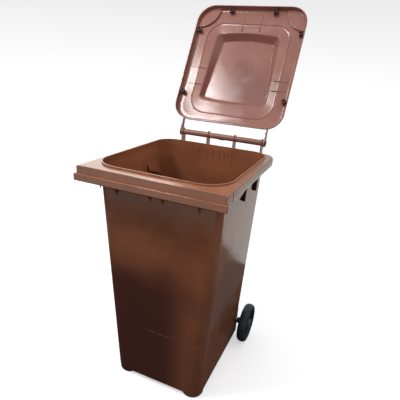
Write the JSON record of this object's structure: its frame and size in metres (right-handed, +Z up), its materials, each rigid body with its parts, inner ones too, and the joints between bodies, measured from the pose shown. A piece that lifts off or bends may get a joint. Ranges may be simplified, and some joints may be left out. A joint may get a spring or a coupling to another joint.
{
  "type": "wheelie bin",
  "caption": "Tall brown plastic wheelie bin with a stepped lifting lip, round rear handle bar, hinged lid held open and spoked rear wheels on a steel axle.",
  "frame": {"origin": "on the floor, under the middle of the bin's box with its lid open as stored", "axes": "+Z up, +X to the right seen from the front, -Y towards the stepped lifting lip at the front; the handle and wheels are at +Y"},
  "size_m": [0.583, 1.0114, 1.6123],
  "materials": {
    "body_plastic": "injection-moulded brown polyethylene, glossy with fine scuffs",
    "bar_plastic": "brown polyethylene, worn satin",
    "lid_plastic": "brown polyethylene, satin, dusty inside",
    "buffer_plastic": "dark brown moulded plastic, satin",
    "pin_plastic": "dark brown moulded plastic, satin",
    "axle_steel": "zinc-plated drawn steel",
    "sleeve_plastic": "black extruded plastic",
    "tyre_rubber": "solid black rubber, matt",
    "wheel_plastic": "black moulded plastic, satin",
    "bush_nylon": "natural nylon, smooth",
    "spring_steel": "dark spring steel",
    "cap_plastic": "dark grey moulded plastic, satin",
    "chip_plastic": "black moulded plastic, satin"
  },
  "bodies": {
    "bin": {"bin_body": "body_plastic", "handle_bar": "bar_plastic", "hinge_pin_left": "pin_plastic", "hinge_pin_right": "pin_plastic", "axle": "axle_steel", "axle_sleeve_left": "sleeve_plastic", "axle_sleeve_right": "sleeve_plastic", "axle_washer_left": "axle_steel", "axle_washer_right": "axle_steel", "axle_snap_ring_left": "spring_steel", "axle_snap_ring_right": "spring_steel", "chip_plug": "chip_plastic"},
    "lid": {"lid": "lid_plastic", "lid_buffer_1": "buffer_plastic", "lid_buffer_2": "buffer_plastic", "lid_buffer_3": "buffer_plastic", "lid_buffer_4": "buffer_plastic", "lid_buffer_5": "buffer_plastic", "lid_buffer_6": "buffer_plastic"},
    "wheel_left": {"wheel_disc_left": "wheel_plastic", "wheel_tyre_left": "tyre_rubber", "wheel_bush_left": "bush_nylon", "hub_cap_left": "cap_plastic"},
    "wheel_right": {"wheel_disc_right": "wheel_plastic", "wheel_tyre_right": "tyre_rubber", "wheel_bush_right": "bush_nylon", "hub_cap_right": "cap_plastic"}
  },
  "joints": [
    {"name": "lid_hinge", "type": "hinge", "parent": "bin", "child": "lid", "pos_m": [0, 0.1933, 1.025], "axis": [-1, 0, 0], "range_deg": [-118.8, 121.2]},
    {"name": "wheel_spin_left", "type": "hinge", "parent": "bin", "child": "wheel_left", "pos_m": [-0.262, 0.0963, 0.1], "axis": [1, 0, 0], "continuous": true},
    {"name": "wheel_spin_right", "type": "hinge", "parent": "bin", "child": "wheel_right", "pos_m": [0.262, 0.0963, 0.1], "axis": [1, 0, 0], "continuous": true}
  ]
}
